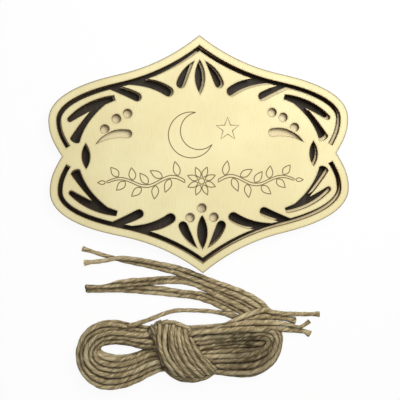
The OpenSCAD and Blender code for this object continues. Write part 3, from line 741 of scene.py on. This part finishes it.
# Scorched bands beside the cut edges, with painted shade in the band on the ledges: each profile entry is (distance
# from the edge, burn and shade), the rest in millimetres
scorch = {
    "openings": ((0, 0.8), (0.12, 0.5), (0.26, 0.16), (0.45, 0.05), (0.8, 0.0)),
    "rim": ((0, 0.95), (0.16, 0.65), (0.34, 0.2), (0.8, 0.0)),
    # On the ledges the band is scorch at the edge, and further in painted shade
    "ledgesScorchAndShade": ((0, 0.85), (0.13, 0.55), (0.35, 0.34), (0.8, 0.24), (1.4, 0.14)),
    # How much of the room beside it a band may take, and a limit on how far it reaches at a sharp corner
    "room": 0.47, "corner": 0.45,
    # No two bands lie at quite the same height, so that none flickers through another
    "above": 0.004, "bandStep": 0.0004, "loopStep": 0.0002, "loopSteps": 8,
}


def edgeLoops(node, z, perMetre=1e7, facesUp=0.9, level=1e-5):
    # The borders of a panel's upper face, each a closed line with the wood on its left, the widest first
    mesh = node.data
    co = np.array([v.co for v in mesh.vertices])
    keys = {}
    places = []
    welded = []
    for p in co:
        key = tuple(np.round(p * perMetre).astype(int))
        if key not in keys:
            keys[key] = len(places)
            places.append(p)
        welded.append(keys[key])
    edges = set()
    for face in mesh.polygons:
        if face.normal.z > facesUp and abs(co[face.vertices[0]][2] - z) < level:
            ids = [welded[v] for v in face.vertices]
            edges.update(zip(ids, ids[1:] + ids[:1]))
    border = {a: b for a, b in edges if (b, a) not in edges}
    loops = []
    while border:
        loop, here = [], next(iter(border))
        while here in border:
            loop.append(here)
            here = border.pop(here)
        loops.append(np.array([places[i] for i in loop]))
    return sorted(loops, key=lambda loop: -np.ptp(loop[:, 0]))


def roomBeside(point, way, skip, first, second, slack=0.01, openRoom=1.0):
    # How far a line from each point runs before it meets a border: metres
    along = second - first
    cross = way[:, None, 0] * along[None, :, 1] - way[:, None, 1] * along[None, :, 0]
    gap = first[None, :, :] - point[:, None, :]
    safe = np.where(np.abs(cross) < tiny, tiny, cross)
    reach = (gap[:, :, 0] * along[None, :, 1] - gap[:, :, 1] * along[None, :, 0]) / safe
    share = (gap[:, :, 0] * way[:, None, 1] - gap[:, :, 1] * way[:, None, 0]) / safe
    hit = (share >= -slack) & (share <= 1 + slack) & (reach > small) & ~skip
    return np.where(hit, reach, openRoom).min(1)


def woodMark(name, verts, faces, burnAndShade, look):
    # A burnt mark that lies on the wood
    mark = makeMesh(name, verts, faces, look, {"burnAndShade": burnAndShade}, smooth=False)
    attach(mark, "plaque")


def ribbon(name, loops, borders, profile, top, look):
    # Flat bands along the loops, none past the middle between two borders
    verts, faces, burnAndShade = [], [], []
    first = np.vstack([loop[:, :2] for loop in borders])
    second = np.vstack([np.roll(loop[:, :2], -1, 0) for loop in borders])
    base = 0
    for order, loop in enumerate(loops):
        n, point = len(loop), loop[:, :2]
        way = unit(np.roll(loop, -1, 0) - loop)
        back = np.roll(way, 1, 0)
        left = np.stack([-way[:, 1], way[:, 0]], 1)
        mid = unit(left + np.stack([-back[:, 1], back[:, 0]], 1))
        reach = 1 / np.maximum(scorch["corner"], (mid * left).sum(1))
        touches = [(np.abs(point[:, None, :] - ends[None, :, :]).max(2) < samePlace) for ends in (first, second)]
        room = roomBeside(point, mid, touches[0] | touches[1], first, second)
        reach = reach * np.minimum(1, scorch["room"] * room / (reach * profile[-1][0] * mm))
        for step, (distance, amount) in enumerate(profile):
            lift = step * scorch["bandStep"] + order % scorch["loopSteps"] * scorch["loopStep"]
            height = top + scorch["above"] * mm + lift * mm
            verts.append(np.column_stack([point + mid * (reach * distance * mm)[:, None], np.full(n, height)]))
            burnAndShade.append(np.full(n, amount))
        faces += ringFaces(len(profile), n, base).tolist()
        base += len(profile) * n
    woodMark(name, np.vstack(verts), faces, np.concatenate(burnAndShade), look)


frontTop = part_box("front_panel")[1].z
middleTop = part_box("middle_panel")[1].z
frontLoops = edgeLoops(nodes["front_panel"], frontTop)
middleLoops = edgeLoops(nodes["middle_panel"], middleTop)
ribbon("scorched_openings", frontLoops[1:], frontLoops, scorch["openings"], frontTop, faceWood)
ribbon("scorched_rim", frontLoops[:1], frontLoops[:1], scorch["rim"], frontTop, faceWood)
# Scorch and painted shade on the middle panel's ledges
ribbon("scorch_and_shade_ledges", middleLoops[1:], middleLoops, scorch["ledgesScorchAndShade"], middleTop, ledgeWood)

# The engraved drawing: a crescent moon and a star over a band of leaves, all in thin burnt lines.
# Places and sizes are in millimetres.
motif = {
    "line": 0.34, "burnAndShade": 0.85, "above": 0.009, "heightStep": 0.0003, "heightSteps": 9,
    "moonAt": (-3.2, 6.6), "moonR": 7.6, "hollowAt": (-0.6, 7.9), "hollowR": 6.2, "moonPoints": (60, 50),
    "starAt": (9, 8.4), "starR": (4, 1.65), "starTips": 5,
    "roseAt": (0.0, -8.8), "roseEye": 1.0, "eyePoints": 24, "petals": 8, "petalFrom": 1.35, "petal": (3.7, 1.9),
    # Two stems wave outwards from the rose, thinner and flatter towards their ends
    "stem": (5.6, 31.5), "stemPoints": 60, "wave": 1.7, "waves": 3, "waveFade": 0.35, "stemHalf": (0.36, 0.14),
    "leaves": 9, "leavesFrom": (0.1, 0.86), "leafTurn": 58, "leafOut": 0.75, "leaf": (5, 2.4), "leafFade": 0.25,
    "endLeaf": (2.6, 1.3), "endGap": 0.3, "leafPoints": 15, "leafBelly": 0.8, "leafTaper": 0.15,
}


def arcPoints(centre, r, first, last, count):
    a = np.radians(np.linspace(first, last, count))
    return np.stack([centre[0] + r * np.cos(a), centre[1] + r * np.sin(a)], 1)


def leafLine(root, degrees, length, width):
    # The outline of a pointed leaf
    t = np.linspace(0, 1, motif["leafPoints"])
    half = width / 2 * np.sin(np.pi * t ** motif["leafBelly"]) * (1 - motif["leafTaper"] * t)
    a = math.radians(degrees)
    along, side = np.array([math.cos(a), math.sin(a)]), np.array([-math.sin(a), math.cos(a)])
    middle = np.array(root) + t[:, None] * length * along
    upper, lower = middle + half[:, None] * side, middle - half[:, None] * side
    return np.vstack([upper, lower[-2:0:-1]])


def moonLine():
    # Two circles cross: the far arc of the large one, then the near arc of the small one back
    m = motif
    a, b = np.array(m["moonAt"]), np.array(m["hollowAt"])
    far = np.linalg.norm(b - a)
    tilt = math.degrees(math.atan2(*(b - a)[::-1]))
    share = (far ** 2 + m["moonR"] ** 2 - m["hollowR"] ** 2) / (2 * far * m["moonR"])
    big = math.degrees(math.acos(share))
    little = math.degrees(math.asin(m["moonR"] * math.sin(math.radians(big)) / m["hollowR"]))
    inner = little if m["moonR"] * share > far else 180 - little
    outerCount, innerCount = m["moonPoints"]
    outerArc = arcPoints(a, m["moonR"], tilt + big, tilt + 360 - big, outerCount)
    return np.vstack([outerArc, arcPoints(b, m["hollowR"], tilt + 360 - inner, tilt + inner, innerCount)[1:-1]])


def starLine():
    m = motif
    corner = np.arange(2 * m["starTips"])
    a = np.radians(90 + 180 / m["starTips"] * corner)
    r = np.where(corner % 2 == 0, *m["starR"])
    return np.stack([m["starAt"][0] + r * np.cos(a), m["starAt"][1] + r * np.sin(a)], 1)


def roseLines():
    m = motif
    lines = [arcPoints(m["roseAt"], m["roseEye"], 0, 360 - 360 / m["eyePoints"], m["eyePoints"])]
    for k in range(m["petals"]):
        a = 2 * math.pi * (k + 0.5) / m["petals"]
        root = (m["roseAt"][0] + m["petalFrom"] * math.cos(a), m["roseAt"][1] + m["petalFrom"] * math.sin(a))
        lines.append(leafLine(root, math.degrees(a), *m["petal"]))
    return lines


def stemLines():
    # The right stem with its leaves
    m = motif
    first, last = m["stem"]
    x = np.linspace(first, last, m["stemPoints"])
    share = (x - first) / (last - first)
    y = m["roseAt"][1] + m["wave"] * np.sin(share * m["waves"] * np.pi) * (1 - m["waveFade"] * share)
    thin, more = m["stemHalf"]
    half = thin + more * (1 - share)
    lines = [np.vstack([np.stack([x, y + half], 1), np.stack([x, y - half], 1)[::-1][1:]])]
    for k, at in enumerate(np.linspace(*m["leavesFrom"], m["leaves"])):
        i = int(at * (m["stemPoints"] - 1))
        lean = math.degrees(math.atan2(y[i + 1] - y[i], x[i + 1] - x[i]))
        turn = m["leafTurn"] if k % 2 == 0 else -m["leafTurn"]
        root = (x[i], y[i] + math.copysign(m["leafOut"], turn))
        lines.append(leafLine(root, lean + turn, m["leaf"][0] * (1 - m["leafFade"] * at), m["leaf"][1]))
    return lines + [leafLine((last + m["endGap"], y[-1]), 0, *m["endLeaf"])]


def engrave(lines):
    # A thin band along each closed line
    m = motif
    verts, faces = [], []
    for order, line in enumerate(lines):
        way = unit(np.roll(line, -1, 0) - np.roll(line, 1, 0))
        side = np.stack([-way[:, 1], way[:, 0]], 1) * m["line"] / 2
        n, base = len(line), len(verts)
        height = frontTop + (m["above"] + order % m["heightSteps"] * m["heightStep"]) * mm
        for place, offset in zip(line, side):
            verts += [(*((place + offset) * mm), height), (*((place - offset) * mm), height)]
        for i in range(n):
            here, beside = base + 2 * i, base + 2 * ((i + 1) % n)
            faces.append((here, here + 1, beside + 1, beside))
    woodMark("engraved_motif", verts, faces, [m["burnAndShade"]] * len(verts), faceWood)


stems = [line * [side, 1] for side in (-1, 1) for line in stemLines()]
engrave([moonLine(), starLine(), *roseLines(), *stems])
print("plaque made")


# The floor and the light. The near lamp stands above the plaque's upper right, so that its lower left is darker.
floor = {
    "half": 2.0, "constants": {"Base Color": linear(250, 250, 250), "Roughness": 0.9},
    "glow": {"Color": (1, 1, 1, 1), "Strength": 1.0}, "white": 0.94,
}
lights = {
    "nearLight": {"place": (0.06, 0.068, 0.17), "size": 0.1, "power": 0.28, "colour": (1.0, 0.995, 0.97)},
    "wideLight": {"place": (0.05, 0.1, 0.55), "size": 0.3, "power": 0.8, "colour": (1.0, 0.99, 0.96)},
}
sky = {"colour": (1, 1, 1, 1), "strength": 0.15}

paper, w = material("floor", floor["constants"])
seen = w.node("ShaderNodeLightPath", out="Is Camera Ray")
glow = w.node("ShaderNodeEmission", values=floor["glow"])
mixed = w.node("ShaderNodeMixShader", values={0: seen * floor["white"], 1: w, 2: glow})
paper.node_tree.links.new(mixed.socket, paper.node_tree.nodes["Material Output"].inputs[0])
corners = [(x * floor["half"], y * floor["half"], 0) for x, y in ((-1, -1), (1, -1), (1, 1), (-1, 1))]
floorMesh = makeMesh("floor", corners, [(0, 1, 2, 3)], paper, smooth=False)

for name, light in lights.items():
    lamp = bpy.data.lights.new(name, "AREA")
    lamp.size = light["size"]
    lamp.energy = light["power"]
    lamp.color = light["colour"]
    lampObject = bpy.data.objects.new(name, lamp)
    lampObject.location = light["place"]
    lampObject.rotation_euler = (-Vector(light["place"])).to_track_quat("-Z", "Y").to_euler()
    scene.collection.objects.link(lampObject)
world = bpy.data.worlds.new("world")
world.use_nodes = True
background = world.node_tree.nodes["Background"]
background.inputs[0].default_value = sky["colour"]
background.inputs[1].default_value = sky["strength"]
scene.world = world
scene.view_settings.view_transform = "Standard"
print("floor and light made")
